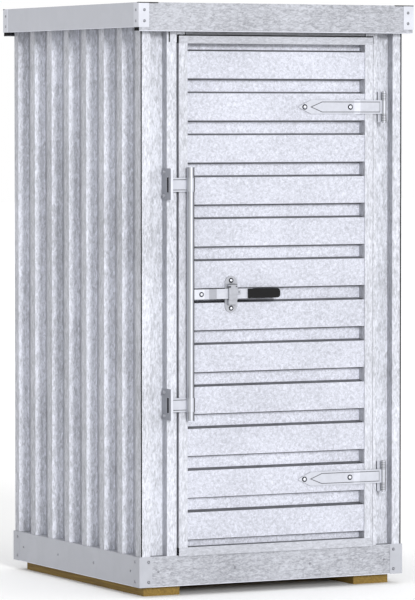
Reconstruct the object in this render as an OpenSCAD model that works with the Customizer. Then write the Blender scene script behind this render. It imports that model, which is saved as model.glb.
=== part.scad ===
// Steel tool shed with one hinged door, a rod lock and two timber runners.
// Millimetres, +Z up, X to the right, door facing -Y.
// Origin on the ground, under the middle of the roof.

/* [Overall size] */
// Width over the plinth
base_w = 1075; // [900:5:1400]
// Depth over the plinth
base_d = 1088; // [900:5:1400]
// Height from the ground to the top of the roof
total_h = 2124; // [1700:5:2600]

/* [Plinth and runners] */
// Height of each timber runner
runner_h = 36; // [25:1:60]
// Width of each timber runner
runner_w = 144; // [100:2:170]
// Distance from the side of the plinth to a runner
runner_inset_x = 36; // [20:1:80]
// Distance from the front of the plinth to a runner's end
runner_inset_y = 42; // [10:1:80]
// Height of the plinth ring
plinth_h = 110; // [80:1:160]
// Width of the plinth's top and bottom flanges
plinth_flange = 60; // [50:1:90]
// Sheet thickness of the folded frames
frame_t = 1.5; // [1:0.5:2]
// Leg length of the plinth's corner plates
plinth_plate_leg = 50; // [30:1:70]
// Thickness of the corner plates
plate_t = 1.5; // [1:0.5:2]
// Thickness of the floor board
floor_t = 18; // [12:1:27]

/* [Ribbed sheet] */
// Nominal distance from rib to rib
rib_pitch = 150; // [130:1:180]
// Width of a wall rib's narrow outer flat
rib_crest = 40; // [30:1:60]
// Width of the side wall's last outer flat, at the back corner
back_flat = 34; // [15:1:40]
// Run of the slope between two flats
rib_slope = 6.5; // [3:0.5:12]
// Depth from the outer flat to the inner flat
rib_depth = 40; // [20:1:42]
// Thickness of the ribbed sheet
sheet_t = 1; // [0.75:0.25:1.5]
// Distance from the plinth's face to the wall's outer flats
wall_inset = 4; // [2:0.5:8]

/* [Roof] */
// Overhang of the roof past the plinth at each side
over_side = 22.5; // [10:0.5:40]
// Overhang of the roof past the plinth at front and back
over_front = 41; // [40.5:0.5:60]
// Height of the front and back fascia
fascia_front_h = 102; // [90:1:140]
// Height of the side fascia
fascia_side_h = 88; // [85:1:89]
// Leg length of the roof's corner plates
roof_plate_leg = 40; // [25:1:60]
// Drop of the roof sheet's ribs below the fascia's top
roof_drop = 6; // [4:1:8]

/* [Posts and lintel] */
// Height of the lintel that shows below the front fascia
lintel_shows = 10; // [8:1:20]
// Width of the flat at each front corner
post_flat = 43; // [30:1:50]
// Width of the recess in each front post
post_recess = 66; // [50:1:80]
// Depth of the recess in each front post
post_recess_d = 37; // [25:1:42]
// Width of the left post's flat beside the door
jamb_left = 38.5; // [30:0.5:50]
// Width of the right post's flat beside the door
jamb_right = 14; // [12:0.5:20]
// Depth of the groove between side wall and post
corner_groove = 6; // [3:1:10]
// Width of the groove between side wall and post
corner_groove_w = 4; // [2:0.5:6]
// Width of the stop flanges behind the door
stop_w = 26; // [15:1:30]

/* [Door leaf] */
// Gap between the left post and the leaf
gap_left = 7; // [7:0.5:10]
// Gap between the leaf and the right post
gap_right = 5; // [5:0.5:8]
// Gap below the lintel and above the plinth
gap_ends = 5; // [5:0.5:10]
// Distance the leaf's face stands in front of the plinth
leaf_proud = 7; // [7:0.5:9]
// Depth of the leaf's frame
leaf_d = 48; // [46:1:52]
// Clearance behind the leaf's frame
gap_behind = 6; // [5:0.5:10]
// Width of the left stile
stile_left_w = 34; // [25:1:50]
// Width of the right stile
stile_right_w = 33; // [25:1:50]
// Height of the top rail
rail_top_h = 27; // [20:1:50]
// Height of the bottom rail above its lip
rail_bottom_h = 23; // [18:1:50]
// Distance the front lip hangs below the leaf
lip_drop = 8; // [6:1:12]
// Height of the leaf sheet's wide outer flat
band_h = 97; // [90:1:110]
// Distance the wide flats lie behind the face of the leaf's frame
band_behind = 4; // [2:0.5:6]
// Distance from a rail to the first wide flat
band_margin = 27.5; // [24:0.5:40]

/* [Hinges] */
// Width of a strap
strap_w = 50; // [40:1:60]
// Thickness of a strap
strap_t = 4; // [3:0.5:4]
// Length of a strap from its tip to the pin
strap_len = 350; // [250:5:450]
// Length of a strap's pointed tip
strap_tip = 50; // [20:5:60]
// Distance from the right face of the plinth to the pin
pin_from_side = 85; // [82:0.5:90]
// Distance the pin stands in front of the plinth
pin_proud = 12; // [11:0.5:14]
// Outer diameter of the barrel
barrel_d = 17; // [15:0.5:17]
// Height of the whole barrel
barrel_h = 110; // [90:2:140]
// Diameter of the pin
pin_d = 9; // [7:0.5:10]
// Radial clearance on the pin
pin_fit = 0.08; // [0.02:0.02:0.1]
// Gap between two knuckles
knuckle_gap = 0.5; // [0.3:0.1:1]
// Thickness of the fixed leaf on the post
fixed_leaf_t = 3; // [2:0.5:3]

/* [Rod lock] */
// Diameter of the upright tube
rod_d = 27; // [21:0.5:27]
// Wall of the upright tube
rod_wall = 2.5; // [2:0.5:4]
// Distance from the left face of the plinth to the tube's axis
rod_x = 192; // [186:0.5:196]
// Distance the tube's axis stands in front of the plinth
rod_proud = 24; // [23.5:0.5:24.5]
// Length of the tube
rod_len = 907; // [700:1:1200]
// Distance between the two tongues
tongue_spacing = 788; // [600:1:1000]
// Height of a tongue
tongue_h = 50; // [40:1:60]
// Thickness of a tongue
tongue_t = 4; // [3:0.5:5]
// Distance a tongue stands in front of the plinth
tongue_proud = 13; // [12:0.5:15]
// Wall of the ring round the tube
ring_wall = 2; // [1.5:0.25:2]
// Distance between a tongue's tip and its keeper
tongue_gap = 6; // [5:0.5:9]
// Height of a keeper
keeper_h = 112; // [90:1:130]
// Thickness of a keeper
keeper_t = 3; // [2:0.5:4]
// Distance a keeper stands in front of the plinth
keeper_proud = 38; // [32:1:42]
// Width of a keeper's front lip
keeper_lip = 9; // [6:1:12]
// Height of a keeper's middle above its tongue's middle
keeper_up = 3; // [0:0.5:4]
// Height of a keeper's slot
slot_h = 57; // [57:1:70]
// Width of a keeper's slot
slot_w = 11; // [7:1:12]

/* [Handle] */
// Height of the bar's middle above the middle of its groove
handle_up = 5.5; // [0:0.5:8]
// Height of the flat handle bar
handle_h = 36; // [25:1:42]
// Thickness of the handle bar
handle_t = 5; // [4:0.5:6]
// Distance from the tube's axis to the crank in the bar
crank_x = 72; // [50:1:90]
// Length of the crank
crank_len = 36; // [20:1:40]
// Step of the crank towards the door
crank_step = 10; // [6:0.5:12]
// Distance from the tube's axis to the grip
grip_x = 234; // [215:1:260]
// Length of the grip
grip_len = 129; // [100:1:160]
// Height of the grip
grip_h = 34; // [26:1:40]
// Radius of the grip's outer corners
grip_round = 12; // [6:1:13]
// Thickness of the grip
grip_t = 20; // [14:1:24]
// Distance from the tube's axis to the handle keeper
catch_x = 172; // [160:1:185]
// Width of the handle keeper's round ends
catch_w = 50; // [40:1:56]
// Distance between the handle keeper's bolts
catch_bolts = 82; // [70:1:100]
// Thickness of the handle keeper's plate
catch_t = 3; // [2:0.5:3]
// Width of the flap over the bar
flap_w = 34; // [26:1:40]
// Thickness of the flap
flap_t = 3; // [2:0.5:3]
// Clearance between the bar and the flap
flap_gap = 5; // [5:0.5:6]
// Diameter of the flap's pin
flap_pin_d = 6; // [4:0.5:7]
// Outer diameter of the flap's knuckles
flap_knuckle_d = 12; // [10:0.5:14]

/* [Hidden] */
$fn = 48;

// Heights of the main levels
plinth_z = runner_h + plinth_h;
roof_front_z = total_h - fascia_front_h;
roof_side_z = total_h - fascia_side_h;
roof_sheet_z = total_h - roof_drop - rib_depth - sheet_t;
lintel_z = roof_front_z - lintel_shows;
leaf_z0 = plinth_z + gap_ends;
leaf_z1 = lintel_z - gap_ends;
leaf_h = leaf_z1 - leaf_z0;

// Positions along the front, from the plinth's left face
recess_l0 = post_flat;
recess_l1 = post_flat + post_recess;
jamb_l = recess_l1 + jamb_left;
jamb_r = base_w - post_flat - post_recess - jamb_right;
recess_r0 = jamb_r + jamb_right;
recess_r1 = base_w - post_flat + 1;
leaf_x0 = jamb_l + gap_left;
leaf_x1 = jamb_r - gap_right;

// Overhang of the fascias inside their corner plates
fascia_x0 = over_side - plate_t;
fascia_y0 = over_front - plate_t;

// Depths behind the plinth's face
leaf_back = leaf_d - leaf_proud;
stop_y = leaf_back + gap_behind;
band_face = leaf_proud - band_behind;

// Spacing of the leaf sheet's wide flats
sheet_z0 = leaf_z0 + rail_bottom_h;
sheet_z1 = leaf_z1 - rail_top_h;
band_span = sheet_z1 - sheet_z0 - 2 * band_margin - band_h;
band_n = round(band_span / rib_pitch) + 1;
band_pitch = band_span / (band_n - 1);
band_z0 = sheet_z0 + band_margin;
strap_z = [band_z0 + band_h / 2 + band_pitch, band_z0 + band_h / 2 + (band_n - 2) * band_pitch];

// Height of the handle: the middle of the groove nearest to half height
grip_row = ceil(band_n / 2) - 1;
groove_z = band_z0 + band_h + grip_row * band_pitch + (band_pitch - band_h) / 2;
handle_z = groove_z + handle_up;
catch_z = handle_z - 2.5;

// Hinge pin and lock positions
pin_x = base_w - pin_from_side;
knuckle_h = (barrel_h - strap_w) / 2 - knuckle_gap;
rod_z0 = handle_z + 2 - rod_len / 2;
tongue_z = [handle_z - 1 - tongue_spacing / 2, handle_z - 1 + tongue_spacing / 2];
ring_d = rod_d + 2 * ring_wall;
ring_back = rod_proud - ring_d / 2;
keeper_x = recess_l1 - keeper_t;
tongue_x0 = keeper_x + keeper_lip + tongue_gap;

// Handle depths in front of the plinth
bar_p0 = rod_proud - handle_t / 2;
bar_p1 = bar_p0 - crank_step;
flap_p = bar_p1 + handle_t + flap_gap;
flap_axis_p = flap_p + flap_t - flap_knuckle_d / 2;
flap_axis_z = handle_z + handle_h / 2 + 12;
catch_mid = rod_x + catch_x;
rest_h = 20;

// Colours
galv = [0.82, 0.83, 0.86];
galv_dark = [0.70, 0.71, 0.74];
zinc = [0.76, 0.77, 0.79];
wood = [0.55, 0.47, 0.33];
black = [0.10, 0.10, 0.10];

// Folded sections: a line of points thickened to its left by t
function unit(v) = v / norm(v);
function left_of(a, b) = let(u = unit(b - a)) [-u.y, u.x];
function shifted(pts, t) = [for (i = [0:len(pts) - 1])
    let(n1 = i == 0 ? left_of(pts[0], pts[1]) : left_of(pts[i - 1], pts[i]),
        n2 = i == len(pts) - 1 ? n1 : left_of(pts[i], pts[i + 1]))
    pts[i] + t * (n1 + n2) / (1 + n1 * n2)];
function reversed(l) = [for (i = [len(l) - 1:-1:0]) l[i]];
function folded(pts, t) = concat(pts, reversed(shifted(pts, t)));

// Outline of a ribbed wall of length l that ends on an outer flat of the width given as last
function rib_line(l, last) =
    let(n = round((l - last) / rib_pitch), step = (l - last) / n)
    concat([[0, 0]],
        [for (k = [0:n - 1], q = [[rib_crest, 0],
            [rib_crest + rib_slope, rib_depth],
            [step - rib_slope, rib_depth], [step, 0]])
            [k * step + q.x, q.y]],
        [[l, 0]]);

// Outline of the leaf's sheet: height first, distance behind the wide flats second
function band_line() = concat([[sheet_z0, rib_depth]],
    [for (k = [0:band_n - 1], q = [[-rib_slope, rib_depth], [0, 0],
        [band_h, 0], [band_h + rib_slope, rib_depth]])
        [band_z0 + k * band_pitch + q.x, q.y]],
    [[sheet_z1, rib_depth]]);

// Places children with x from the plinth's left face and y back from its front face
module at_front() {
    translate([-base_w / 2, -base_d / 2, 0]) children();
}

// Extrudes an outline drawn in y and z along x
module along_x(x0, x1) {
    translate([x0, 0, 0])
        rotate([90, 0, 90])
            linear_extrude(x1 - x0) children();
}

// Extrudes an outline drawn in x and z along y
module along_y(y0, y1) {
    translate([0, y1, 0])
        rotate([90, 0, 0])
            linear_extrude(y1 - y0) children();
}

// Extrudes an outline drawn in x and y along z
module along_z(z0, z1) {
    translate([0, 0, z0]) linear_extrude(z1 - z0) children();
}

// ---- Runners, plinth and floor ----

module runner(x) {
    at_front()
        translate([x, runner_inset_y, 0])
            cube([runner_w, base_d - 2 * runner_inset_y, runner_h]);
}

module runner_left() {
    color(wood) runner(runner_inset_x);
}

module runner_right() {
    color(wood) runner(base_w - runner_inset_x - runner_w);
}

// Channel across the front or the back, opening inwards
module plinth_channel_x() {
    z0 = runner_h;
    z1 = plinth_z;
    f = plinth_flange;
    along_x(0, base_w)
        polygon(folded([[f, z1], [0, z1], [0, z0], [f, z0]], frame_t));
}

// Channel along a side, its flanges cut back to clear the front and back ones
module plinth_channel_y() {
    f = plinth_flange;
    y1 = base_d - frame_t;
    union() {
        translate([0, frame_t, runner_h])
            cube([frame_t, y1 - frame_t, plinth_h]);
        for (z = [runner_h, plinth_z - frame_t])
            translate([0, f, z])
                cube([f, base_d - 2 * f, frame_t]);
    }
}

module plinth_front() {
    color(galv) at_front() plinth_channel_x();
}

module plinth_back() {
    color(galv) rotate([0, 0, 180]) at_front() plinth_channel_x();
}

module plinth_left() {
    color(galv_dark) at_front() difference() {
        plinth_channel_y();
        corner_cope();
    }
}

module plinth_right() {
    color(galv_dark) rotate([0, 0, 180]) at_front() difference() {
        plinth_channel_y();
        corner_cope();
    }
}

// Space taken by the flanges of the front and back channels
module corner_cope() {
    f = plinth_flange;
    for (y = [0, base_d - f], z = [runner_h, plinth_z - frame_t])
        translate([0, y, z])
            cube([f, f, frame_t]);
}

// Angle plate wrapped round a corner, drawn at the front left
module corner_plate(leg, z0, z1) {
    along_z(z0, z1)
        polygon([[-plate_t, -plate_t], [leg, -plate_t], [leg, 0], [0, 0], [0, leg], [-plate_t, leg]]);
}

// Four copies of the front left corner of a ring w wide and d deep
module four_corners(w, d) {
    for (sx = [1, -1], sy = [1, -1])
        scale_flip(sx, sy)
            translate([-w / 2, -d / 2, 0]) children();
}

module scale_flip(sx, sy) {
    mirror([sx < 0 ? 1 : 0, 0, 0])
        mirror([0, sy < 0 ? 1 : 0, 0]) children();
}

module plinth_corner_plates() {
    color(galv)
        four_corners(base_w, base_d)
            corner_plate(plinth_plate_leg, runner_h, plinth_z);
}

module floor_panel() {
    edge = wall_inset + rib_depth + sheet_t + 1;
    y0 = stop_y + frame_t;
    color(wood) at_front()
        translate([edge, y0, plinth_z])
            cube([base_w - 2 * edge, base_d - edge - y0, floor_t]);
}

// ---- Walls ----

// Side wall drawn at the left
module side_wall() {
    l = base_d - wall_inset;
    pts = [for (q = rib_line(l, back_flat)) [wall_inset + q.y, q.x]];
    along_z(plinth_z, roof_sheet_z)
        polygon(folded(pts, -sheet_t));
}

module wall_left() {
    color(galv_dark) at_front() side_wall();
}

module wall_right() {
    color(galv_dark) mirror([1, 0, 0]) at_front() side_wall();
}

module wall_back() {
    e = wall_inset + sheet_t;
    l = base_w - 2 * e;
    pts = [for (q = rib_line(l, rib_crest)) [e + q.x, base_d - wall_inset - q.y]];
    color(galv) at_front()
        along_z(plinth_z, roof_sheet_z)
            polygon(folded(pts, -sheet_t));
}

// ---- Front posts and lintel ----

// Outer line of a post from the side wall to the door stop, drawn at the left
function post_line(flat0, flat1, jamb) = let(x0 = wall_inset + sheet_t)
    [[x0, post_recess_d], [x0, corner_groove],
    [x0 + corner_groove_w, corner_groove], [x0 + corner_groove_w, 0],
    [flat0, 0], [flat0, post_recess_d], [flat1, post_recess_d],
    [flat1, 0], [jamb, 0], [jamb, stop_y], [jamb + stop_w, stop_y]];

module post_left() {
    color(galv) at_front()
        along_z(plinth_z, roof_sheet_z)
            polygon(folded(post_line(recess_l0, recess_l1, jamb_l), frame_t));
}

module post_right() {
    pts = post_line(base_w - recess_r1, base_w - recess_r0, base_w - jamb_r);
    color(galv) mirror([1, 0, 0]) at_front()
        along_z(plinth_z, roof_sheet_z)
            polygon(folded(pts, frame_t));
}

// Folded beam over the door with a stop flange behind the leaf
module lintel() {
    top = roof_sheet_z;
    stop_z = leaf_z1 - 13;
    pts = [[stop_y - 20, top], [0, top], [0, lintel_z], [stop_y, lintel_z]];
    color(galv_dark) at_front()
        union() {
            along_x(jamb_l, jamb_r)
                polygon(folded(pts, frame_t));
            translate([jamb_l + stop_w, stop_y, stop_z])
                cube([jamb_r - jamb_l - 2 * stop_w, frame_t, lintel_z + frame_t - stop_z]);
        }
}

// Angle plates that tie the lintel to the posts
module lintel_end_plates() {
    z0 = lintel_z - 28;
    color(galv) at_front() {
        along_y(-plate_t, 0)
            polygon([[recess_l1 + 10, z0], [jamb_l, z0], [jamb_l, lintel_z], [jamb_l + 34, lintel_z],
                [jamb_l + 34, roof_front_z - 1], [recess_l1 + 10, roof_front_z - 1]]);
        along_y(-plate_t, 0)
            polygon([[recess_r0, z0], [jamb_r, z0], [jamb_r, lintel_z], [jamb_r - 34, lintel_z],
                [jamb_r - 34, roof_front_z - 1], [recess_r0, roof_front_z - 1]]);
    }
}

// ---- Roof ----

// Folded fascia across the front, with a return to the wall at its bottom
module fascia_x() {
    top = total_h;
    pts = [[-fascia_y0 + 40, top], [-fascia_y0, top], [-fascia_y0, roof_front_z], [0, roof_front_z]];
    along_x(-fascia_x0 + frame_t, base_w + fascia_x0 - frame_t)
        polygon(folded(pts, frame_t));
}

module fascia_front() {
    color(galv_dark) at_front() fascia_x();
}

module fascia_back() {
    color(galv_dark) rotate([0, 0, 180]) at_front() fascia_x();
}

// Folded fascia along a side, its top flange cut back at both ends
module fascia_y() {
    y0 = -fascia_y0;
    y1 = base_d + fascia_y0;
    f = 40;
    union() {
        translate([-fascia_x0, y0, roof_side_z])
            cube([frame_t, y1 - y0, fascia_side_h]);
        translate([-fascia_x0, y0 + f, total_h - frame_t])
            cube([f, y1 - y0 - 2 * f, frame_t]);
        translate([-fascia_x0, 0, roof_side_z])
            cube([fascia_x0 + wall_inset, base_d, frame_t]);
    }
}

module fascia_left() {
    color(galv_dark) at_front() fascia_y();
}

module fascia_right() {
    color(galv_dark) rotate([0, 0, 180]) at_front() fascia_y();
}

// Ribbed roof sheet lying between the fascias, ribs running front to back
module roof_sheet() {
    x0 = -fascia_x0 + frame_t;
    y0 = -fascia_y0 + frame_t;
    pts = [for (q = rib_line(base_w - 2 * x0, rib_crest)) [q.x + x0, total_h - roof_drop - q.y]];
    color(galv) at_front()
        along_y(y0, base_d - y0)
            polygon(folded(pts, -sheet_t));
}

module roof_corner_plates() {
    w = base_w + 2 * over_side;
    d = base_d + 2 * over_front;
    color(galv)
        four_corners(w - 2 * plate_t, d - 2 * plate_t)
            corner_plate(roof_plate_leg, roof_side_z, total_h);
}

// ---- Door leaf ----

// Closed box section, open at both ends
module box_section(x0, y0, x1, y1) {
    difference() {
        translate([x0, y0]) square([x1 - x0, y1 - y0]);
        translate([x0 + frame_t, y0 + frame_t])
            square([x1 - x0 - 2 * frame_t, y1 - y0 - 2 * frame_t]);
    }
}

module door_stile_left() {
    color(galv) at_front()
        along_z(sheet_z0, sheet_z1)
            box_section(leaf_x0, -leaf_proud, leaf_x0 + stile_left_w, leaf_back);
}

module door_stile_right() {
    color(galv) at_front()
        along_z(sheet_z0, sheet_z1)
            box_section(leaf_x1 - stile_right_w, -leaf_proud, leaf_x1, leaf_back);
}

module door_rail_top() {
    color(galv) at_front()
        along_x(leaf_x0, leaf_x1)
            box_section(-leaf_proud, sheet_z1, leaf_back, leaf_z1);
}

module door_rail_bottom() {
    color(galv) at_front()
        along_x(leaf_x0, leaf_x1)
            union() {
                box_section(-leaf_proud, leaf_z0, leaf_back, sheet_z0);
                translate([-leaf_proud, leaf_z0 - lip_drop])
                    square([sheet_t, lip_drop]);
            }
}

module door_sheet() {
    pts = [for (q = band_line()) [q.y - band_face, q.x]];
    color(galv) at_front()
        along_x(leaf_x0 + stile_left_w, leaf_x1 - stile_right_w)
            polygon(folded(pts, -sheet_t));
}

// ---- Hinges ----

// Strap in plan: along the wide flat, down to the stile, out to the pin
function strap_line() = [[pin_x - strap_len, -band_face],
    [pin_x - 122, -band_face], [pin_x - 98, -leaf_proud],
    [pin_x, -leaf_proud]];

module hinge_strap(z) {
    half = strap_w / 2;
    translate([0, 0, z])
        difference() {
            union() {
                along_z(-half, half)
                    polygon(folded(strap_line(), -strap_t));
                translate([pin_x, -pin_proud, -half])
                    cylinder(h = strap_w, d = barrel_d);
            }
            translate([pin_x, -pin_proud, -half - 1])
                cylinder(h = strap_w + 2, d = pin_d + 2 * pin_fit);
            for (s = [1, -1])
                along_y(-leaf_proud - strap_t - 5, 5)
                    polygon([[pin_x - strap_len - 1, s * 2.5], [pin_x - strap_len, s * 2.5],
                        [pin_x - strap_len + strap_tip, s * half], [pin_x - strap_len + strap_tip, s * (half + 5)],
                        [pin_x - strap_len - 1, s * (half + 5)]]);
        }
}

module hinge_straps() {
    color(zinc) at_front()
        for (z = strap_z) hinge_strap(z);
}

// Fixed leaf: an upright plate standing on the floor of the post's recess, with an arm and a
// knuckle above and below the strap
module hinge_fixed_leaf(z) {
    half = barrel_h / 2;
    x0 = recess_r0 + 3.5;
    translate([0, 0, z])
        difference() {
            union() {
                translate([x0, -fixed_leaf_t, -half])
                    cube([fixed_leaf_t, post_recess_d + fixed_leaf_t, barrel_h]);
                for (s = [-half, half - knuckle_h]) {
                    translate([x0, -fixed_leaf_t, s])
                        cube([pin_x - x0, fixed_leaf_t, knuckle_h]);
                    translate([pin_x - 3, -pin_proud, s])
                        cube([6, pin_proud, knuckle_h]);
                    translate([pin_x, -pin_proud, s])
                        cylinder(h = knuckle_h, d = barrel_d);
                }
            }
            translate([pin_x, -pin_proud, -half - 1])
                cylinder(h = barrel_h + 2, d = pin_d + 2 * pin_fit);
        }
}

module hinge_fixed_leaves() {
    color(zinc) at_front()
        for (z = strap_z) hinge_fixed_leaf(z);
}

module hinge_pins() {
    half = barrel_h / 2;
    color(zinc) at_front()
        for (z = strap_z)
            translate([pin_x, -pin_proud, z])
                union() {
                    translate([0, 0, -half - 1])
                        cylinder(h = barrel_h + 2, d = pin_d);
                    for (e = [-half - 2.5, half])
                        translate([0, 0, e])
                            cylinder(h = 2.5, d = barrel_d - 3);
                }
}

// ---- Rod lock ----

module lock_tube() {
    color(zinc) at_front()
        translate([rod_x, -rod_proud, rod_z0])
            difference() {
                cylinder(h = rod_len, d = rod_d);
                translate([0, 0, -1])
                    cylinder(h = rod_len + 2, d = rod_d - 2 * rod_wall);
            }
}

// Tongue with its ring round the tube
module lock_tongue(z) {
    translate([rod_x, -rod_proud, z - tongue_h / 2])
        difference() {
            union() {
                cylinder(h = tongue_h, d = ring_d);
                translate([tongue_x0 - rod_x, rod_proud - tongue_proud - tongue_t, 0])
                    cube([rod_x - tongue_x0, tongue_t, tongue_h]);
            }
            translate([0, 0, -1])
                cylinder(h = tongue_h + 2, d = rod_d + 0.1);
        }
}

module lock_tongues() {
    color(zinc) at_front()
        for (z = tongue_z) lock_tongue(z);
}

// Packing plates between the leaf and the rings
module lock_bearing_pads() {
    color(galv_dark) at_front()
        for (z = tongue_z)
            translate([leaf_x0 + 2, -ring_back, z - tongue_h / 2])
                cube([stile_left_w - 2, ring_back - leaf_proud, tongue_h]);
}

// Angle bracket on the side of the post's recess, slotted for the tongue
module lock_keeper(z) {
    difference() {
        along_z(z - keeper_h / 2, z + keeper_h / 2)
            polygon([[keeper_x, post_recess_d - 3], [keeper_x, -keeper_proud],
                [keeper_x + keeper_lip, -keeper_proud], [keeper_x + keeper_lip, -keeper_proud + keeper_t],
                [recess_l1, -keeper_proud + keeper_t], [recess_l1, post_recess_d - 3]]);
        translate([keeper_x - 1, -tongue_proud - tongue_t / 2 - slot_w / 2, z - keeper_up - slot_h / 2])
            cube([keeper_t + 2, slot_w, slot_h]);
    }
}

module lock_keepers() {
    color(galv_dark) at_front()
        for (z = tongue_z) lock_keeper(z + keeper_up);
}

// ---- Handle and its keeper ----

module lock_handle() {
    pts = [[rod_x, -bar_p0], [rod_x + crank_x, -bar_p0],
        [rod_x + crank_x + crank_len, -bar_p1], [rod_x + grip_x + 20, -bar_p1]];
    color(zinc) at_front()
        difference() {
            along_z(handle_z - handle_h / 2, handle_z + handle_h / 2)
                polygon(folded(pts, -handle_t));
            translate([rod_x, -rod_proud, handle_z - 100])
                cylinder(h = 200, d = rod_d + 0.1);
            grip_body(handle_z);
        }
}

// Grip: a slab with rounded outer corners
module grip_body(z) {
    r = grip_round;
    y0 = -bar_p1 - handle_t / 2 - grip_t / 2;
    x0 = rod_x + grip_x;
    x1 = x0 + grip_len - r;
    translate([0, y0, z])
        union() {
            translate([x0, 0, -grip_h / 2])
                cube([grip_len - r, grip_t, grip_h]);
            translate([x1 - 1, 0, -grip_h / 2 + r])
                cube([r + 1, grip_t, grip_h - 2 * r]);
            for (s = [-1, 1])
                translate([x1, 0, s * (grip_h / 2 - r)])
                    rotate([-90, 0, 0])
                        cylinder(h = grip_t, r = r);
        }
}

module handle_grip() {
    color(black) at_front() grip_body(handle_z);
}

// Keeper plate with round ends, two knuckles for the flap and a rest below the bar
module handle_keeper() {
    r = catch_w / 2;
    arm = 7;
    y0 = -band_face - catch_t;
    color(zinc) at_front()
        difference() {
            union() {
                translate([catch_mid - r, y0, catch_z - catch_bolts / 2])
                    cube([catch_w, catch_t, catch_bolts]);
                for (s = [-1, 1])
                    translate([catch_mid, y0, catch_z + s * catch_bolts / 2])
                        rotate([-90, 0, 0])
                            cylinder(h = catch_t, r = r);
                for (s = [-1, 1])
                    translate([catch_mid + s * (flap_w / 2 - arm / 2) - arm / 2, -flap_axis_p, flap_axis_z - 4])
                        cube([arm, flap_axis_p - band_face, 8]);
                for (s = [-1, 1])
                    translate([catch_mid + s * (flap_w / 2 - arm / 2) - arm / 2, -flap_axis_p, flap_axis_z])
                        rotate([0, 90, 0])
                            cylinder(h = arm, d = flap_knuckle_d - 1);
                translate([catch_mid - flap_w / 2, -flap_p + 0.5, handle_z - handle_h / 2 - rest_h - 1])
                    cube([flap_w, flap_p - 0.5 - band_face, rest_h]);
            }
            translate([catch_mid - 30, -flap_axis_p, flap_axis_z])
                rotate([0, 90, 0])
                    cylinder(h = 60, d = flap_pin_d + 0.1);
        }
}

// Flap hinged above the bar; its ear carries the hole for a padlock
module keeper_flap() {
    arm = 7.5;
    w = flap_w - 2 * arm;
    z0 = handle_z - handle_h / 2 - 4;
    color(zinc) at_front()
        difference() {
            union() {
                translate([catch_mid - w / 2, -flap_axis_p, flap_axis_z])
                    rotate([0, 90, 0])
                        cylinder(h = w, d = flap_knuckle_d);
                translate([catch_mid - w / 2, -flap_p - flap_t, flap_axis_z - 10])
                    cube([w, flap_t, 10]);
                translate([catch_mid - flap_w / 2, -flap_p - flap_t, z0])
                    cube([flap_w, flap_t, flap_axis_z - 8 - z0]);
                translate([catch_mid + flap_w / 2 - 1, -flap_p - flap_t, handle_z - 2])
                    cube([13, flap_t, 16]);
            }
            translate([catch_mid - 30, -flap_axis_p, flap_axis_z])
                rotate([0, 90, 0])
                    cylinder(h = 60, d = flap_pin_d + 2 * pin_fit);
            translate([catch_mid + flap_w / 2 + 5, -flap_p - flap_t - 1, handle_z + 6])
                rotate([-90, 0, 0])
                    cylinder(h = flap_t + 2, d = 8);
        }
}

module keeper_pin() {
    color(galv_dark) at_front()
        translate([catch_mid - flap_w / 2 - 1, -flap_axis_p, flap_axis_z])
            rotate([0, 90, 0])
                cylinder(h = flap_w + 2, d = flap_pin_d);
}

runner_left();
runner_right();
plinth_front();
plinth_back();
plinth_left();
plinth_right();
plinth_corner_plates();
floor_panel();
wall_left();
wall_right();
wall_back();
post_left();
post_right();
lintel();
lintel_end_plates();
roof_sheet();
fascia_front();
fascia_back();
fascia_left();
fascia_right();
roof_corner_plates();
door_stile_left();
door_stile_right();
door_rail_top();
door_rail_bottom();
door_sheet();
hinge_straps();
hinge_fixed_leaves();
hinge_pins();
lock_tube();
lock_tongues();
lock_bearing_pads();
lock_keepers();
lock_handle();
handle_grip();
handle_keeper();
keeper_flap();
keeper_pin();
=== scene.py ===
import math

import bmesh
import bpy
from mathutils import Matrix, Vector


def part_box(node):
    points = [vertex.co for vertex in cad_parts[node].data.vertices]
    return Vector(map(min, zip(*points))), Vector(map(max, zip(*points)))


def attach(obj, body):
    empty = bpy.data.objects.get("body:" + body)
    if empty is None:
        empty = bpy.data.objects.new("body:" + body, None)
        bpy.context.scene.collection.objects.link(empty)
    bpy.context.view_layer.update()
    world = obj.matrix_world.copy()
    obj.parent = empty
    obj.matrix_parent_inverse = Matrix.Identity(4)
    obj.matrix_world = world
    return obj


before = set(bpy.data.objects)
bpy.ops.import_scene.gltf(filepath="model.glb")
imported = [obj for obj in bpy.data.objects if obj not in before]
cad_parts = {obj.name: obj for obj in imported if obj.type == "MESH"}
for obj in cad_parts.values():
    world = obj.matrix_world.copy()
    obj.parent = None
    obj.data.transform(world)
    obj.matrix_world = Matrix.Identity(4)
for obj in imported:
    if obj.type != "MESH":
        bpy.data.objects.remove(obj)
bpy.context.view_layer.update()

MM = 0.001


# ---------------------------------------------------------------- finishes

def new_group(name, inputs, outputs):
    """A shader node group with named inputs (name, kind, default) and outputs (name, kind)."""
    group = bpy.data.node_groups.new(name, "ShaderNodeTree")
    for label, kind, value in inputs:
        socket = group.interface.new_socket(name=label, in_out="INPUT", socket_type=kind)
        if value is not None:
            socket.default_value = value
    for label, kind in outputs:
        group.interface.new_socket(name=label, in_out="OUTPUT", socket_type=kind)
    return group, group.nodes.new("NodeGroupInput"), group.nodes.new("NodeGroupOutput")


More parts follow.
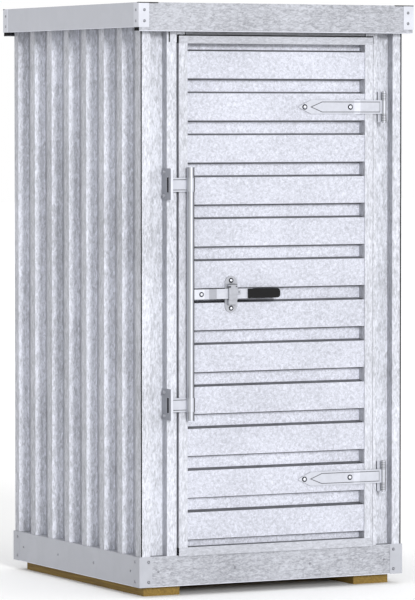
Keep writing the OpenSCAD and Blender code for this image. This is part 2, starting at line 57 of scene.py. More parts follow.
class Wiring:
    """Short calls for adding and joining nodes in one tree."""

    def __init__(self, tree):
        self.tree = tree

    def node(self, kind, **settings):
        made = self.tree.nodes.new(kind)
        for key, value in settings.items():
            setattr(made, key, value)
        return made

    def put(self, value, socket):
        if isinstance(value, (int, float, tuple)):
            socket.default_value = value
        else:
            self.tree.links.new(value, socket)

    def math(self, operation, *values):
        made = self.node("ShaderNodeMath", operation=operation)
        for socket, value in zip(made.inputs, values):
            self.put(value, socket)
        return made.outputs[0]

    def scaled(self, vector, factors):
        made = self.node("ShaderNodeVectorMath", operation="MULTIPLY")
        self.put(vector, made.inputs[0])
        self.put(factors, made.inputs[1])
        return made.outputs[0]

    def mix(self, factor, first, second):
        made = self.node("ShaderNodeMix", data_type="RGBA")
        for socket, value in ((made.inputs[0], factor), (made.inputs[6], first), (made.inputs[7], second)):
            self.put(value, socket)
        return made.outputs[2]

    def noise(self, vector, scale, detail=2.0, roughness=0.5, distortion=0.0):
        made = self.node("ShaderNodeTexNoise")
        for label, value in (("Scale", scale), ("Detail", detail), ("Roughness", roughness),
                             ("Distortion", distortion)):
            made.inputs[label].default_value = value
        self.put(vector, made.inputs["Vector"])
        return made.outputs["Fac"]

    def spread(self, value, low, high):
        made = self.node("ShaderNodeMapRange")
        self.put(value, made.inputs["Value"])
        self.put(low, made.inputs["From Min"])
        self.put(high, made.inputs["From Max"])
        return made.outputs["Result"]


def make_embossed_zinc():
    """Embossed, spangled zinc: waves stretched along one axis, as a colour, a roughness and a normal."""
    group, start, end = new_group(
        "embossed_zinc",
        [("Vector", "NodeSocketVector", None), ("Waves", "NodeSocketVector", (60.0, 60.0, 60.0)),
         ("Light", "NodeSocketColor", (0.6, 0.6, 0.6, 1.0)), ("Dark", "NodeSocketColor", (0.4, 0.4, 0.4, 1.0)),
         ("Depth", "NodeSocketFloat", 0.3), ("Roughness", "NodeSocketFloat", 0.5)],
        [("Color", "NodeSocketColor"), ("Roughness", "NodeSocketFloat"), ("Normal", "NodeSocketVector")])
    w = Wiring(group)
    place = w.scaled(start.outputs["Vector"], start.outputs["Waves"])
    broad = w.noise(place, 1.0, 2.0, 0.55, 0.9)
    fine = w.noise(place, 2.6, 2.0, 0.6, 0.4)
    cloud = w.noise(start.outputs["Vector"], 3.5, 2.0, 0.5)
    height = w.math("ADD", w.math("MULTIPLY", broad, 0.62), w.math("MULTIPLY", fine, 0.38))
    tone = w.math("ADD", height, w.math("MULTIPLY", w.math("SUBTRACT", cloud, 0.5), 0.22))
    tone = w.spread(tone, 0.36, 0.64)
    bump = w.node("ShaderNodeBump")
    bump.inputs["Distance"].default_value = 0.001
    w.put(start.outputs["Depth"], bump.inputs["Strength"])
    w.put(height, bump.inputs["Height"])
    w.put(w.mix(tone, start.outputs["Dark"], start.outputs["Light"]), end.inputs["Color"])
    w.put(w.math("ADD", start.outputs["Roughness"], w.math("MULTIPLY", w.math("SUBTRACT", fine, 0.5), 0.25)),
          end.inputs["Roughness"])
    w.put(bump.outputs["Normal"], end.inputs["Normal"])
    return group


def make_painted_fold_shade():
    """Painted shade in folds: darker on faces that look up or down, a little patchy."""
    group, start, end = new_group(
        "painted_fold_shade",
        [("Color", "NodeSocketColor", (0.6, 0.6, 0.6, 1.0)), ("Facing", "NodeSocketVector", None),
         ("Vector", "NodeSocketVector", None), ("Amount", "NodeSocketFloat", 0.8),
         ("Shade", "NodeSocketColor", (0.035, 0.037, 0.041, 1.0))],
        [("Color", "NodeSocketColor")])
    w = Wiring(group)
    split = w.node("ShaderNodeSeparateXYZ")
    w.put(start.outputs["Facing"], split.inputs[0])
    level = w.spread(w.math("ABSOLUTE", split.outputs["Z"]), 0.12, 0.6)
    patch = w.spread(w.noise(start.outputs["Vector"], 22.0, 3.0), 0.2, 0.6)
    amount = w.math("MULTIPLY", w.math("MULTIPLY", level, start.outputs["Amount"]),
                    w.math("ADD", 0.85, w.math("MULTIPLY", patch, 0.15)))
    w.put(w.mix(amount, start.outputs["Color"], start.outputs["Shade"]), end.inputs["Color"])
    return group


def make_painted_rib_shading():
    """Painted light and shade on folded sheet, by depth from crest to floor: one gain for the flats, one for the webs
    between them.
    """
    group, start, end = new_group(
        "painted_rib_light_and_shade",
        [("Color", "NodeSocketColor", (0.6, 0.6, 0.6, 1.0)), ("Across", "NodeSocketFloat", 0.0),
         ("Flatness", "NodeSocketFloat", 1.0), ("Crest", "NodeSocketFloat", 0.5), ("Floor", "NodeSocketFloat", 0.46),
         ("Crest Gain", "NodeSocketFloat", 1.0), ("Floor Gain", "NodeSocketFloat", 1.0),
         ("Web Outer Gain", "NodeSocketFloat", 1.0), ("Web Inner Gain", "NodeSocketFloat", 1.0)],
        [("Color", "NodeSocketColor")])
    w = Wiring(group)
    depth = w.spread(w.math("ABSOLUTE", start.outputs["Across"]), start.outputs["Crest"], start.outputs["Floor"])
    flat = w.spread(w.math("ABSOLUTE", start.outputs["Flatness"]), 0.45, 0.55)

    def between(first, second):
        rise = w.math("MULTIPLY", w.math("SUBTRACT", start.outputs[second], start.outputs[first]), depth)
        return w.math("ADD", start.outputs[first], rise)

    face, web = between("Crest Gain", "Floor Gain"), between("Web Outer Gain", "Web Inner Gain")
    gain = w.math("ADD", web, w.math("MULTIPLY", w.math("SUBTRACT", face, web), flat))
    scale = w.node("ShaderNodeVectorMath", operation="SCALE")
    w.put(start.outputs["Color"], scale.inputs[0])
    w.put(gain, scale.inputs["Scale"])
    w.put(scale.outputs[0], end.inputs["Color"])
    return group


def make_tube_shade():
    """Painted tone fixed to the piece, in place of reflections: dull left flank, dark right flank."""
    group, start, end = new_group(
        "tube_shade",
        [("Color", "NodeSocketColor", (0.6, 0.6, 0.6, 1.0)), ("Facing", "NodeSocketVector", None),
         ("Flank", "NodeSocketColor", (0.30, 0.31, 0.33, 1.0)), ("Dark", "NodeSocketColor", (0.03, 0.031, 0.034, 1.0))],
        [("Color", "NodeSocketColor")])
    w = Wiring(group)
    split = w.node("ShaderNodeSeparateXYZ")
    w.put(start.outputs["Facing"], split.inputs[0])
    dark = w.math("MULTIPLY", w.spread(split.outputs["X"], 0.22, 0.36), w.spread(split.outputs["X"], 0.985, 0.95))
    flank = w.math("MULTIPLY", w.spread(split.outputs["X"], -0.18, -0.4), w.spread(split.outputs["X"], -0.99, -0.97))
    duller = w.mix(w.math("MULTIPLY", flank, 0.75), start.outputs["Color"], start.outputs["Flank"])
    w.put(w.mix(w.math("MULTIPLY", dark, 0.9), duller, start.outputs["Dark"]), end.inputs["Color"])
    return group


EMBOSSED = make_embossed_zinc()
FOLD_SHADE = make_painted_fold_shade()
PAINTED_RIB_SHADING = make_painted_rib_shading()
TUBE_SHADE = make_tube_shade()


def zinc(name, light, dark, waves, depth, roughness=0.5, metallic=0.15, fold_shade=0.0, specular=0.5, painted_shading=None,
         painted_flank_shade=False):
    """A finish with its own tone and emboss; it can add painted shade on faces that look up or down, painted light and
    shade across folds (axis, crest, floor, four gains) and painted dark flanks.
    """
    material = bpy.data.materials.new(name)
    material.use_nodes = True
    w = Wiring(material.node_tree)
    shader = material.node_tree.nodes["Principled BSDF"]
    place = w.node("ShaderNodeTexCoord")

    def add(group, **values):
        made = w.node("ShaderNodeGroup")
        made.node_tree = group
        for label, value in values.items():
            w.put(value, made.inputs[label.replace("_", " ")])
        return made

    sheet = add(EMBOSSED, Vector=place.outputs["Object"], Waves=waves, Light=(*light, 1.0), Dark=(*dark, 1.0),
                Depth=depth, Roughness=roughness)
    colour = sheet.outputs["Color"]
    # Painted light and shade across folds, by depth and facing.
    if painted_shading:
        axis, crest, floor, gains = painted_shading
        at, facing = w.node("ShaderNodeSeparateXYZ"), w.node("ShaderNodeSeparateXYZ")
        w.put(place.outputs["Object"], at.inputs[0])
        w.put(place.outputs["Normal"], facing.inputs[0])
        colour = add(PAINTED_RIB_SHADING, Color=colour, Across=at.outputs[axis], Flatness=facing.outputs[axis], Crest=crest,
                     Floor=floor, Crest_Gain=gains[0], Floor_Gain=gains[1], Web_Outer_Gain=gains[2],
                     Web_Inner_Gain=gains[3]).outputs["Color"]
    # Painted dark and dull flanks, in place of reflections.
    if painted_flank_shade:
        colour = add(TUBE_SHADE, Color=colour, Facing=place.outputs["Normal"]).outputs["Color"]
    # Painted shade on faces that look up or down.
    if fold_shade:
        colour = add(FOLD_SHADE, Color=colour, Facing=place.outputs["Normal"], Vector=place.outputs["Object"],
                     Amount=fold_shade).outputs["Color"]
    w.put(colour, shader.inputs["Base Color"])
    w.put(sheet.outputs["Roughness"], shader.inputs["Roughness"])
    w.put(sheet.outputs["Normal"], shader.inputs["Normal"])
    shader.inputs["Metallic"].default_value = metallic
    shader.inputs["Specular IOR Level"].default_value = specular
    return material


def tint(level, blue=1.09):
    """A cool grey of the given lightness."""
    return (level, level * 1.025, level * blue * 1.03)


def corner(node):
    low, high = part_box(node)
    return Vector(low), Vector(high)


# Waves to the metre along X, Y and Z: few waves make a long streak.
UPRIGHT = (125.0, 125.0, 38.0)
LEVEL = (52.0, 100.0, 145.0)
SPANGLE = (95.0, 95.0, 95.0)
SMOOTH = (12.0, 12.0, 12.0)
FINE = (30.0, 30.0, 30.0)
FINEST = (200.0, 200.0, 200.0)

wall_out = -corner("wall_left")[0].x
back_out = corner("wall_back")[1].y
post_front = -corner("post_left")[0].y
band_out = -corner("door_sheet")[0].y
RIB = 40 * MM
POST_RECESS = 37 * MM

# Painted light and shade: gains for crest, floor, outer web and inner web of a fold; the keeper's gains light its front
# faces and shade its sides.
WALL_PAINTED_SHADING = (0.80, 0.78, 1.0, 1.45)
DOOR_PAINTED_SHADING = (1.0, 1.3, 1.0, 1.0)
POST_PAINTED_SHADING = (1.0, 1.06, 0.80, 0.80)
KEEPER_PAINTED_SHADING = (0.8, 0.8, 1.5, 1.5)

zinc_post = zinc("galvanised_post", tint(0.60), tint(0.325), UPRIGHT, 0.55, fold_shade=0.6,
                 painted_shading=("Y", post_front, post_front - POST_RECESS, POST_PAINTED_SHADING))
zinc_level = zinc("galvanised_front_channel", tint(0.43), tint(0.225), LEVEL, 0.6, fold_shade=0.5)
# Darker copy of the channel zinc for the lintel: painted shade under the fascia.
zinc_lintel = zinc("galvanised_lintel", tint(0.27), tint(0.16), LEVEL, 0.6, fold_shade=0.5)
zinc_rail = zinc("galvanised_door_rail", tint(0.46), tint(0.31), LEVEL, 0.45, fold_shade=0.75)
zinc_stile = zinc("galvanised_door_stile", tint(0.565), tint(0.325), UPRIGHT, 0.5, fold_shade=0.75)
zinc_door = zinc("galvanised_door_sheet", tint(0.55, 1.12), tint(0.345, 1.12), SPANGLE, 0.35, fold_shade=0.95,
                 painted_shading=("Y", band_out, band_out - RIB, DOOR_PAINTED_SHADING))
zinc_wall = zinc("galvanised_side_wall", tint(0.62), tint(0.33), UPRIGHT, 0.6,
                 painted_shading=("X", wall_out, wall_out - RIB, WALL_PAINTED_SHADING))
zinc_back = zinc("galvanised_back_wall", tint(0.62), tint(0.33), UPRIGHT, 0.6,
                 painted_shading=("Y", back_out, back_out - RIB, WALL_PAINTED_SHADING))
zinc_roof = zinc("galvanised_roof_sheet", tint(0.50), tint(0.36), SPANGLE, 0.4)
# The side channels and side plinths get smoother, lighter copies of the front channel's zinc: painted light on faces
# turned from the lamp.
zinc_side = zinc("galvanised_side_channel", tint(0.43), tint(0.41), SMOOTH, 0.03)
zinc_plinth_side = zinc("galvanised_plinth_side", tint(0.385), tint(0.36), SMOOTH, 0.03)
zinc_plate = zinc("galvanised_corner_plate", tint(0.52), tint(0.48), SMOOTH, 0.03)
zinc_plinth_plate = zinc("galvanised_plinth_plate", tint(0.37), tint(0.34), SMOOTH, 0.03)
# Lighter, bluer zinc for the hems: painted highlight on the channels' bottom edges.
hem_highlight = zinc("galvanised_hem_painted_highlight", tint(0.60, 1.1), tint(0.54, 1.1), SMOOTH, 0.03)
zinc_hardware = zinc("zinc_plated_hardware", tint(0.50, 1.1), tint(0.46, 1.1), FINE, 0.04, 0.38, 0.35,
                     fold_shade=0.85, painted_flank_shade=True)
zinc_keeper = zinc("zinc_plated_keeper", tint(0.40), tint(0.35), FINE, 0.04, 0.42, 0.35, fold_shade=0.5,
                   painted_shading=("X", 0.5, 0.46, KEEPER_PAINTED_SHADING))
zinc_catch = zinc("zinc_plated_catch", tint(0.37), tint(0.31), FINE, 0.04, 0.42, 0.4, fold_shade=0.8,
                  painted_flank_shade=True)
zinc_tube = zinc("zinc_plated_tube", tint(0.50), tint(0.45), (60.0, 60.0, 12.0), 0.05, 0.36, 0.6, painted_flank_shade=True)
zinc_bolt = zinc("zinc_plated_bolt", tint(0.72), tint(0.62), FINEST, 0.03, 0.25, 0.6)
zinc_rivet = zinc("steel_rivet", tint(0.26), tint(0.20), FINEST, 0.03, 0.3, 0.5)
# Near-black tone: painted shade for creases and knuckle joints.
crease_shade = zinc("painted_crease_shade", tint(0.13), tint(0.09), SMOOTH, 0.02)
# Black: rubber for the roof corner seals; painted shade in grooves, joints, channel ends, keeper slots and round bolt
# heads.
black_rubber_and_shade = zinc("black_rubber_and_painted_shade", (0.006, 0.006, 0.0065), (0.004, 0.004, 0.0045), (150.0, 150.0, 150.0), 0.1, 0.85, 0.0,
              specular=0.12)
grip_black = zinc("black_grip_plastic", (0.0075, 0.0075, 0.0085), (0.005, 0.005, 0.0055), (400.0, 400.0, 400.0), 0.12,
                  0.5, 0.0, specular=0.14)


def make_timber():
    """Treated softwood: growth rings drawn out along the board, with darker streaks."""
    material = bpy.data.materials.new("treated_timber")
    material.use_nodes = True
    w = Wiring(material.node_tree)
    shader = material.node_tree.nodes["Principled BSDF"]
    place = w.node("ShaderNodeTexCoord")
    rings = w.noise(w.scaled(place.outputs["Object"], (70.0, 5.0, 110.0)), 1.0, 4.0, 0.6, 1.2)
    streak = w.noise(w.scaled(place.outputs["Object"], (260.0, 9.0, 300.0)), 1.0, 2.0)
    tone = w.math("ADD", w.math("MULTIPLY", rings, 0.7), w.math("MULTIPLY", streak, 0.3))
    colour = w.mix(w.spread(tone, 0.38, 0.64), (0.15, 0.088, 0.013, 1.0), (0.27, 0.172, 0.030, 1.0))
    w.put(colour, shader.inputs["Base Color"])
    bump = w.node("ShaderNodeBump")
    bump.inputs["Distance"].default_value = 0.001
    bump.inputs["Strength"].default_value = 0.35
    w.put(tone, bump.inputs["Height"])
    w.put(bump.outputs["Normal"], shader.inputs["Normal"])
    w.put(w.math("ADD", 0.66, w.math("MULTIPLY", streak, 0.2)), shader.inputs["Roughness"])
    return material


timber = make_timber()

FINISHES = {
    timber: ["runner_left", "runner_right", "floor_panel"],
    zinc_level: ["plinth_front", "plinth_back", "fascia_front", "fascia_back"],
    zinc_lintel: ["lintel"],
    zinc_side: ["fascia_left", "fascia_right"],
    zinc_plinth_side: ["plinth_left", "plinth_right"],
    zinc_plinth_plate: ["plinth_corner_plates"],
    zinc_plate: ["roof_corner_plates"],
    zinc_wall: ["wall_left", "wall_right"],
    zinc_back: ["wall_back"],
    zinc_roof: ["roof_sheet"],
    zinc_post: ["post_left", "post_right", "lintel_end_plates"],
    zinc_stile: ["door_stile_left", "door_stile_right"],
    zinc_rail: ["door_rail_top", "door_rail_bottom"],
    zinc_door: ["door_sheet"],
    zinc_hardware: ["hinge_straps", "hinge_fixed_leaves", "lock_tongues", "lock_handle", "hinge_pins", "keeper_pin"],
    zinc_catch: ["handle_keeper", "keeper_flap"],
    zinc_keeper: ["lock_keepers", "lock_bearing_pads"],
    zinc_tube: ["lock_tube"],
    grip_black: ["handle_grip"],
}
for finish, nodes in FINISHES.items():
    for node in nodes:
        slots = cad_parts[node].data.materials
        slots.clear()
        slots.append(finish)


# ---------------------------------------------------------------- shapes

TURN_TO = {
    "-y": Matrix.Rotation(math.radians(90), 4, "X"),
    "+y": Matrix.Rotation(math.radians(-90), 4, "X"),
    "-x": Matrix.Rotation(math.radians(-90), 4, "Y"),
    "+x": Matrix.Rotation(math.radians(90), 4, "Y"),
}


def head(shape, place, facing, radius, height, segments=14, top=0.55, rounding=0.35):
    """A round or six-sided head that stands on a face: place is the middle of its foot."""
    made = bmesh.ops.create_cone(shape, cap_ends=True, cap_tris=False, segments=segments, radius1=radius,
                                 radius2=radius * top, depth=height)
    rim = {e for v in made["verts"] for e in v.link_edges if all(q.co.z > 0 for q in e.verts)}
    rounded = bmesh.ops.bevel(shape, geom=list(rim), affect="EDGES", offset=height * rounding, segments=2,
                              profile=0.5, material=-1, clamp_overlap=True)
    verts = set(rounded["verts"]) | {v for v in made["verts"] if v.is_valid}
    bmesh.ops.transform(shape, verts=list(verts), matrix=Matrix.Translation(place) @ TURN_TO[facing]
                        @ Matrix.Translation((0.0, 0.0, height / 2)))
    for face in {f for v in verts for f in v.link_faces}:
        face.smooth = segments > 8


def block(shape, low, high, rounding=0.0, segments=2):
    """A box between two corners, with its edges rounded."""
    low, high = Vector(low), Vector(high)
    made = bmesh.ops.create_cube(shape, size=1.0)["verts"]
    size = high - low
    bmesh.ops.transform(shape, verts=made, matrix=Matrix.Translation((low + high) / 2)
                        @ Matrix.Diagonal((*size, 1.0)))
    if rounding:
        edges = {e for v in made for e in v.link_edges}
        bmesh.ops.bevel(shape, geom=list(edges), affect="EDGES", offset=rounding, segments=segments, profile=0.5,
                        material=-1, clamp_overlap=True)


def pressed_panel(shape, outline, foot, rise, slope, lift=None, cuts=()):
    """A raised panel on a face that looks towards -Y. outline holds (x, z); foot is its y; lift steps it out at x."""
    face = shape.faces.new([shape.verts.new((x, foot, z)) for x, z in outline])
    face.normal_update()
    if face.normal.y > 0:
        face.normal_flip()
    rim = bmesh.ops.inset_region(shape, faces=[face], thickness=slope, depth=rise, use_boundary=True,
                                 use_even_offset=True)["faces"]
    panel = {face, *rim}
    panel |= set(bmesh.ops.holes_fill(shape, edges=[e for f in panel for e in f.edges if e.is_boundary],
                                      sides=0)["faces"])
    for x in cuts:
        parts = panel | {e for f in panel for e in f.edges} | {v for f in panel for v in f.verts}
        cut = bmesh.ops.bisect_plane(shape, geom=list(parts), plane_co=(x, 0, 0), plane_no=(1, 0, 0))
        panel = {g for g in cut["geom"] if isinstance(g, bmesh.types.BMFace)}
    if lift:
        for vert in {v for f in panel for v in f.verts}:
            vert.co.y -= lift(vert.co.x)


def make_piece(name, body, finish, build):
    """Builds one named piece, closes it, and lets it ride on a body."""
    shape = bmesh.new()
    build(shape)
    bmesh.ops.remove_doubles(shape, verts=shape.verts, dist=1e-6)
    bmesh.ops.recalc_face_normals(shape, faces=shape.faces)
    mesh = bpy.data.meshes.new(name)
    shape.to_mesh(mesh)
    shape.free()
    mesh.materials.append(finish)
    item = bpy.data.objects.new(name, mesh)
    bpy.context.scene.collection.objects.link(item)
    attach(item, body)
    return item


# ---------------------------------------------------------------- rivets, screws and bolts on the shed

def corner_rivets(shape, node, inset, heights, radius, height):
    """Rivets through both legs of the four corner plates."""
    low, high = corner(node)
    for z in heights:
        for side, y in (("-y", low.y), ("+y", high.y)):
            for x in (low.x + inset, high.x - inset):
                head(shape, (x, y, z), side, radius, height)
        for side, x in (("-x", low.x), ("+x", high.x)):
            for y in (low.y + inset, high.y - inset):
                head(shape, (x, y, z), side, radius, height)


def build_plinth_rivets(shape):
    low, high = corner("plinth_corner_plates")
    corner_rivets(shape, "plinth_corner_plates", 37 * MM, (low.z + 19 * MM, high.z - 19 * MM), 6 * MM, 2.6 * MM)


def build_roof_rivets(shape):
    high = corner("roof_corner_plates")[1]
    corner_rivets(shape, "roof_corner_plates", 23 * MM, (high.z - 27 * MM, high.z - 66 * MM), 5.5 * MM, 1.6 * MM)


SCREW_SPACING = 308.5 * MM
SCREW_START = 75 * MM


def build_plinth_screws(shape):
    low, high = corner("plinth_front")
    left, right = corner("plinth_left")[0], corner("plinth_right")[1]
    front, back = low.y, corner("plinth_back")[1].y
    z = (low.z + high.z) / 2
    for k in range(4):
        x = left.x + SCREW_START + k * SCREW_SPACING
        y = front + SCREW_START + k * SCREW_SPACING
        for side, place in (("-y", (x, front, z)), ("+y", (x, back, z)),
                            ("-x", (left.x, y, z)), ("+x", (right.x, y, z))):
            head(shape, place, side, 4.5 * MM, 2.2 * MM, top=0.75)


make_piece("plinth_rivets", "shed", zinc_rivet, build_plinth_rivets)
make_piece("roof_rivets", "shed", zinc_rivet, build_roof_rivets)
make_piece("plinth_screws", "shed", zinc_rivet, build_plinth_screws)


# ---------------------------------------------------------------- seals and hems on the shed

def build_roof_seals(shape):
    """Black sealing strip let into the top edge at each corner."""
    low, high = corner("roof_corner_plates")
    for y, out in ((low.y, -1), (high.y, 1)):
        for x, way in ((low.x, 1), (high.x, -1)):
            ends = sorted((x, x + way * 78 * MM))
            depths = sorted((y + out * 0.5 * MM, y - out * 12 * MM))
            block(shape, (ends[0], depths[0], high.z - 2.6 * MM), (ends[1], depths[1], high.z + 0.6 * MM), 0.3 * MM, 1)


def build_channel_end_shade(shape):
    """Black blocks in the open ends of the front and back fascias, below the side fascias: painted shade in the channel
    ends.
    """
    under = corner("fascia_left")[0].z
    for node in ("fascia_front", "fascia_back"):
        near, far = corner(node)
        ends = (near.x - 0.6 * MM, near.x + 6 * MM), (far.x - 6 * MM, far.x + 0.6 * MM)
        for x0, x1 in ends:
            block(shape, (x0, near.y + 1.2 * MM, near.z + 1.2 * MM), (x1, far.y - 1.2 * MM, under - 0.4 * MM))


def build_corner_groove_shade(shape):
    """Black strip in the narrow upright groove at each post's outer corner: painted shade in the groove."""
    for node, way in (("post_left", 1), ("post_right", -1)):
        low, high = corner(node)
        edge = low.x if way > 0 else high.x
        xs = sorted((edge - way * 0.2 * MM, edge + way * 4.6 * MM))
        block(shape, (xs[0], low.y - 0.3 * MM, low.z + 1 * MM), (xs[1], low.y + 2 * MM, high.z - 1 * MM))


LEFT_PLATE = 62.5 * MM
RIGHT_PLATE = 48 * MM


def build_end_plate_joint_shade(shape):
    """Black strips at the ends of the lintel's end plates, painted shade in the joints: tall on the left one's outer
    end, short at the inner ends.
    """
    low, high = corner("lintel_end_plates")
    under = corner("lintel")[0].z
    for x, foot in ((low.x, low.z), (low.x + LEFT_PLATE, under), (high.x - RIGHT_PLATE, under)):
        block(shape, (x - 1.5 * MM, low.y - 0.3 * MM, foot), (x + 1.5 * MM, low.y + 1.2 * MM, high.z - 1 * MM))


def hem(shape, low, high, side, rise=2.2 * MM, proud=0.5 * MM):
    """A rolled hem along the bottom edge of a channel, in a lighter zinc: a painted highlight on the edge."""
    if side == "-y":
        block(shape, (low.x, low.y - proud, low.z), (high.x, low.y + 1 * MM, low.z + rise), 0.4 * MM)
    elif side == "+y":
        block(shape, (low.x, high.y - 1 * MM, low.z), (high.x, high.y + proud, low.z + rise), 0.4 * MM)
    elif side == "-x":
        block(shape, (low.x - proud, low.y, low.z), (low.x + 1 * MM, high.y, low.z + rise), 0.4 * MM)
    else:
        block(shape, (high.x - 1 * MM, low.y, low.z), (high.x + proud, high.y, low.z + rise), 0.4 * MM)


def build_hem_highlights(shape):
    for node, side in (("plinth_front", "-y"), ("plinth_back", "+y"), ("plinth_left", "-x"), ("plinth_right", "+x"),
                       ("fascia_front", "-y"), ("fascia_back", "+y"), ("fascia_left", "-x"), ("fascia_right", "+x")):
        low, high = corner(node)
        hem(shape, low, high, side)


make_piece("corner_groove_shade", "shed", black_rubber_and_shade, build_corner_groove_shade)
make_piece("lintel_plate_joint_shade", "shed", black_rubber_and_shade, build_end_plate_joint_shade)
make_piece("rolled_hem_highlights", "shed", hem_highlight, build_hem_highlights)
make_piece("roof_corner_seals", "shed", black_rubber_and_shade, build_roof_seals)
make_piece("fascia_end_shade", "shed", black_rubber_and_shade, build_channel_end_shade)


# ---------------------------------------------------------------- door hardware

strap_low, strap_high = corner("hinge_straps")
pin_low, pin_high = corner("hinge_pins")
pin_x = (pin_low.x + pin_high.x) / 2
strap_half = 25 * MM
PRESSED_HALF = 18 * MM
STRAP_RISE = 1.3 * MM
TONGUE_RISE = 1.2 * MM
PRESSED_SLOPE = 1.2 * MM
CREASE = 1.7 * MM
CREASE_RISE = 0.35 * MM
CREASE_SLOPE = 0.3 * MM
STRAP_BOLTS = (24 * MM, 212 * MM)
KNUCKLE_JOINTS = (26 * MM, 31 * MM, 37 * MM, 43 * MM, 49 * MM)
strap_z = (strap_low.z + strap_half, strap_high.z - strap_half)
band_y = corner("door_sheet")[0].y
leaf_y = corner("door_stile_left")[0].y
strap_t = 4 * MM
joggle = (pin_x - 122 * MM, pin_x - 98 * MM)


def strap_lift(x):
    """How far the strap's face has stepped out at x."""
    part = min(1.0, max(0.0, (x - joggle[0]) / (joggle[1] - joggle[0])))
    return part * (band_y - leaf_y)


def strap_outline(z, grow):
    """The pointed panel pressed into each strap, grown all round."""
    tip, half = strap_low.x + 50 * MM - 2.4 * grow, PRESSED_HALF + grow
    shoulder, end = strap_low.x + 95 * MM, pin_x - 17 * MM + grow
    return [(tip, z), (shoulder, z + half), (end, z + half), (end, z - half), (shoulder, z - half)]


def build_strap_panels(shape):
    for z in strap_z:
        pressed_panel(shape, strap_outline(z, 0.0), band_y - strap_t, STRAP_RISE, PRESSED_SLOPE, strap_lift,
                      joggle)


def build_strap_creases(shape):
    """The dark crease round each pressed panel: painted shade in the crease."""
    for z in strap_z:
        pressed_panel(shape, strap_outline(z, CREASE), band_y - strap_t, CREASE_RISE, CREASE_SLOPE, strap_lift,
                      joggle)


def build_knuckle_joint_shade(shape):
    """Thin dark rings, 0.4 mm proud of the knuckles: painted shade at the joints between them and in their grooves."""
    radius = strap_high.x - pin_x + 0.4 * MM
    middle = (pin_low.y + pin_high.y) / 2
    for z in strap_z:
        for step in KNUCKLE_JOINTS:
            for side in (-1, 1):
                made = bmesh.ops.create_cone(shape, cap_ends=True, cap_tris=False, segments=24, radius1=radius,
                                             radius2=radius, depth=1.8 * MM)
                bmesh.ops.translate(shape, verts=made["verts"], vec=(pin_x, middle, z + side * step))


make_piece("hinge_knuckle_joint_shade", "door", crease_shade, build_knuckle_joint_shade)
make_piece("strap_pressings", "door", zinc_hardware, build_strap_panels)
make_piece("strap_crease_shade", "door", crease_shade, build_strap_creases)


def strap_bolt_feet():
    """Where the strap bolts stand: the outer one on the strap, the inner one on its pressed panel."""
    face = band_y - strap_t
    steps = zip(STRAP_BOLTS, (0.0, STRAP_RISE))
    places = [(strap_low.x + along, face - step) for along, step in steps]
    return [(x, y, z) for z in strap_z for x, y in places]


def build_door_bolts(shape):
    for foot in strap_bolt_feet():
        head(shape, foot, "-y", 8 * MM, 5 * MM, 16, 0.5, 0.4)


# Black washer under each strap bolt: painted shade round the bolt head.
def build_door_shade_washers(shape):
    for foot in strap_bolt_feet():
        head(shape, foot, "-y", 10 * MM, 1.2 * MM, 16, 1.0, 0.2)


make_piece("strap_bolts", "door", zinc_bolt, build_door_bolts)
make_piece("strap_bolt_shade_washers", "door", black_rubber_and_shade, build_door_shade_washers)

tongue_low, tongue_high = corner("lock_tongues")
tongue_half = 25 * MM
tongue_z = (tongue_low.z + tongue_half, tongue_high.z - tongue_half)
tube_low, tube_high = corner("lock_tube")
tube_x = (tube_low.x + tube_high.x) / 2
tube_y = (tube_low.y + tube_high.y) / 2
ring_r = tongue_high.x - tube_x
tongue_face = tube_y + 7 * MM


def tongue_outline(z, grow):
    x0, x1, half = tongue_low.x + 3 * MM - grow, tube_x - ring_r + 3 * MM, PRESSED_HALF + grow
    return [(x0, z - half), (x0, z + half), (x1, z + half), (x1, z - half)]


def build_tongue_panels(shape):
    for z in tongue_z:
        pressed_panel(shape, tongue_outline(z, 0.0), tongue_face, TONGUE_RISE, PRESSED_SLOPE)


# The dark crease round each pressed panel on the tongues: painted shade in the crease.
def build_tongue_creases(shape):
    for z in tongue_z:
        pressed_panel(shape, tongue_outline(z, CREASE), tongue_face, CREASE_RISE, CREASE_SLOPE)


make_piece("tongue_pressings", "door", zinc_hardware, build_tongue_panels)
make_piece("tongue_crease_shade", "door", crease_shade, build_tongue_creases)

handle_low, handle_high = corner("lock_handle")
keeper_low, keeper_high = corner("handle_keeper")
handle_z = (handle_low.z + handle_high.z) / 2
keeper_x = (keeper_low.x + keeper_high.x) / 2
keeper_z = (keeper_low.z + keeper_high.z) / 2
clamp_y = handle_low.y - 2.5 * MM
CLAMP_HALF = 18.5 * MM


def build_clamp_plate(shape):
    """Plate that clamps the bar to the tube."""
    block(shape, (tube_x + 9 * MM, clamp_y, handle_z - CLAMP_HALF),
          (tube_x + 54 * MM, handle_low.y + 1 * MM, handle_z + CLAMP_HALF), 1.2 * MM)


make_piece("handle_clamp_plate", "door", zinc_keeper, build_clamp_plate)


keeper_plate_y = band_y - 3 * MM
HANDLE_BOLT = 41 * MM
KEEPER_BOLTS = (-50 * MM, 50 * MM)


def handle_bolt_feet():
    """Where the bolts of the clamp plate and of the handle's keeper stand."""
    clamp = [(tube_x + HANDLE_BOLT, clamp_y, handle_z)]
    return clamp, [(keeper_x, keeper_plate_y, keeper_z + z) for z in KEEPER_BOLTS]


def build_handle_bolts(shape):
    clamp, keeper = handle_bolt_feet()
    for foot in clamp:
        head(shape, foot, "-y", 7 * MM, 4 * MM, 16, 0.5, 0.4)
    for foot in keeper:
        head(shape, foot, "-y", 7 * MM, 4.5 * MM, 16, 0.5, 0.4)


# Black washer under each handle and keeper bolt: painted shade round the bolt head.
def build_handle_shade_washers(shape):
    clamp, keeper = handle_bolt_feet()
    for foot in clamp + keeper:
        head(shape, foot, "-y", 9 * MM, 1.1 * MM, 16, 1.0, 0.2)


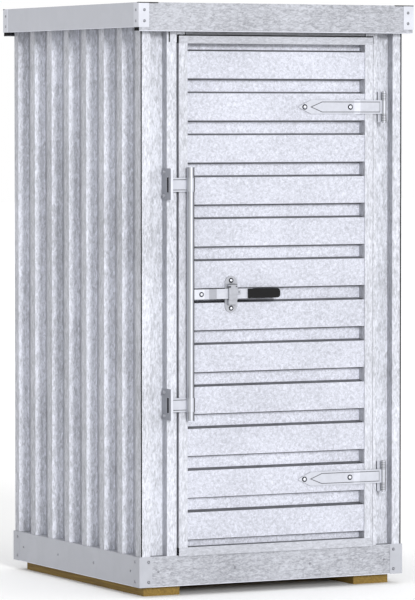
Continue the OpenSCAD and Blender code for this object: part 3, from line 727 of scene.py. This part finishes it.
make_piece("handle_bolts", "door", zinc_bolt, build_handle_bolts)
make_piece("handle_bolt_shade_washers", "door", black_rubber_and_shade, build_handle_shade_washers)

bracket_low, bracket_high = corner("lock_keepers")
bracket_half = 56 * MM
EAR_BOLTS = (-42 * MM, 42 * MM)
EAR_BACK = 18 * MM
EAR_PROUD = 1.2 * MM
bracket_z = (bracket_low.z + bracket_half, bracket_high.z - bracket_half)


def build_bracket_ears(shape):
    for z in bracket_z:
        for dz in EAR_BOLTS:
            head(shape, (bracket_low.x, bracket_high.y - EAR_BACK, z + dz), "-x", 10 * MM, EAR_PROUD, 18, 1.0, 0.3)


def build_bracket_bolts(shape):
    for z in bracket_z:
        for dz in EAR_BOLTS:
            head(shape, (bracket_low.x - EAR_PROUD, bracket_high.y - EAR_BACK, z + dz), "-x", 6.5 * MM, 5 * MM, 6,
                 0.92, 0.15)


def build_slot_shade(shape):
    """Thin black plate across most of each keeper's slot, in line with the tongue: painted shade in the slot."""
    for z in tongue_z:
        block(shape, (bracket_low.x - 0.4 * MM, tube_y + 7 * MM, z - 27 * MM),
              (bracket_low.x + 1.5 * MM, tube_y + 15 * MM, z + 27 * MM))


make_piece("keeper_slot_shade", "shed", black_rubber_and_shade, build_slot_shade)
make_piece("keeper_bracket_ears", "shed", zinc_keeper, build_bracket_ears)
make_piece("keeper_bracket_bolts", "shed", zinc_keeper, build_bracket_bolts)


# ---------------------------------------------------------------- floor, light and camera

KEY_STRENGTH = 2.2
KEY_SPREAD = 12.0
KEY_RISE = 14.0
KEY_SWING = 7.0
CAMERA_LENS = 249.761
CAMERA_PLACE = (-7.03823, -13.84946, 1.72759)
CAMERA_DIP = 2.5565
CAMERA_SWING = 26.9765


def make_floor():
    shape = bmesh.new()
    bmesh.ops.create_grid(shape, x_segments=1, y_segments=1, size=60.0)
    mesh = bpy.data.meshes.new("studio_floor")
    shape.to_mesh(mesh)
    shape.free()
    floor = bpy.data.objects.new("studio_floor", mesh)
    bpy.context.scene.collection.objects.link(floor)
    material = bpy.data.materials.new("pale_floor")
    material.use_nodes = True
    shader = material.node_tree.nodes["Principled BSDF"]
    shader.inputs["Base Color"].default_value = (0.95, 0.95, 0.95, 1.0)
    shader.inputs["Roughness"].default_value = 1.0
    shader.inputs["Specular IOR Level"].default_value = 0.0
    mesh.materials.append(material)


def make_light():
    world = bpy.data.worlds.new("studio")
    bpy.context.scene.world = world
    world.use_nodes = True
    back = world.node_tree.nodes["Background"]
    back.inputs["Color"].default_value = (1.0, 1.0, 1.0, 1.0)
    back.inputs["Strength"].default_value = 1.0
    key = bpy.data.lights.new("front_key", "SUN")
    key.energy = KEY_STRENGTH
    key.angle = math.radians(KEY_SPREAD)
    lamp = bpy.data.objects.new("front_key", key)
    bpy.context.scene.collection.objects.link(lamp)
    lamp.rotation_euler = (math.radians(90.0 - KEY_RISE), 0.0, math.radians(-KEY_SWING))


def make_camera():
    data = bpy.data.cameras.new("front_left_view")
    data.sensor_width = 36.0
    data.sensor_fit = "VERTICAL"
    data.sensor_height = 36.0
    data.lens = CAMERA_LENS
    data.clip_end = 200.0
    camera = bpy.data.objects.new("front_left_view", data)
    bpy.context.scene.collection.objects.link(camera)
    camera.location = CAMERA_PLACE
    camera.rotation_euler = (math.radians(90.0 - CAMERA_DIP), 0.0, math.radians(-CAMERA_SWING))
    bpy.context.scene.camera = camera


make_floor()
make_light()
make_camera()
bpy.context.scene.view_settings.view_transform = "Standard"
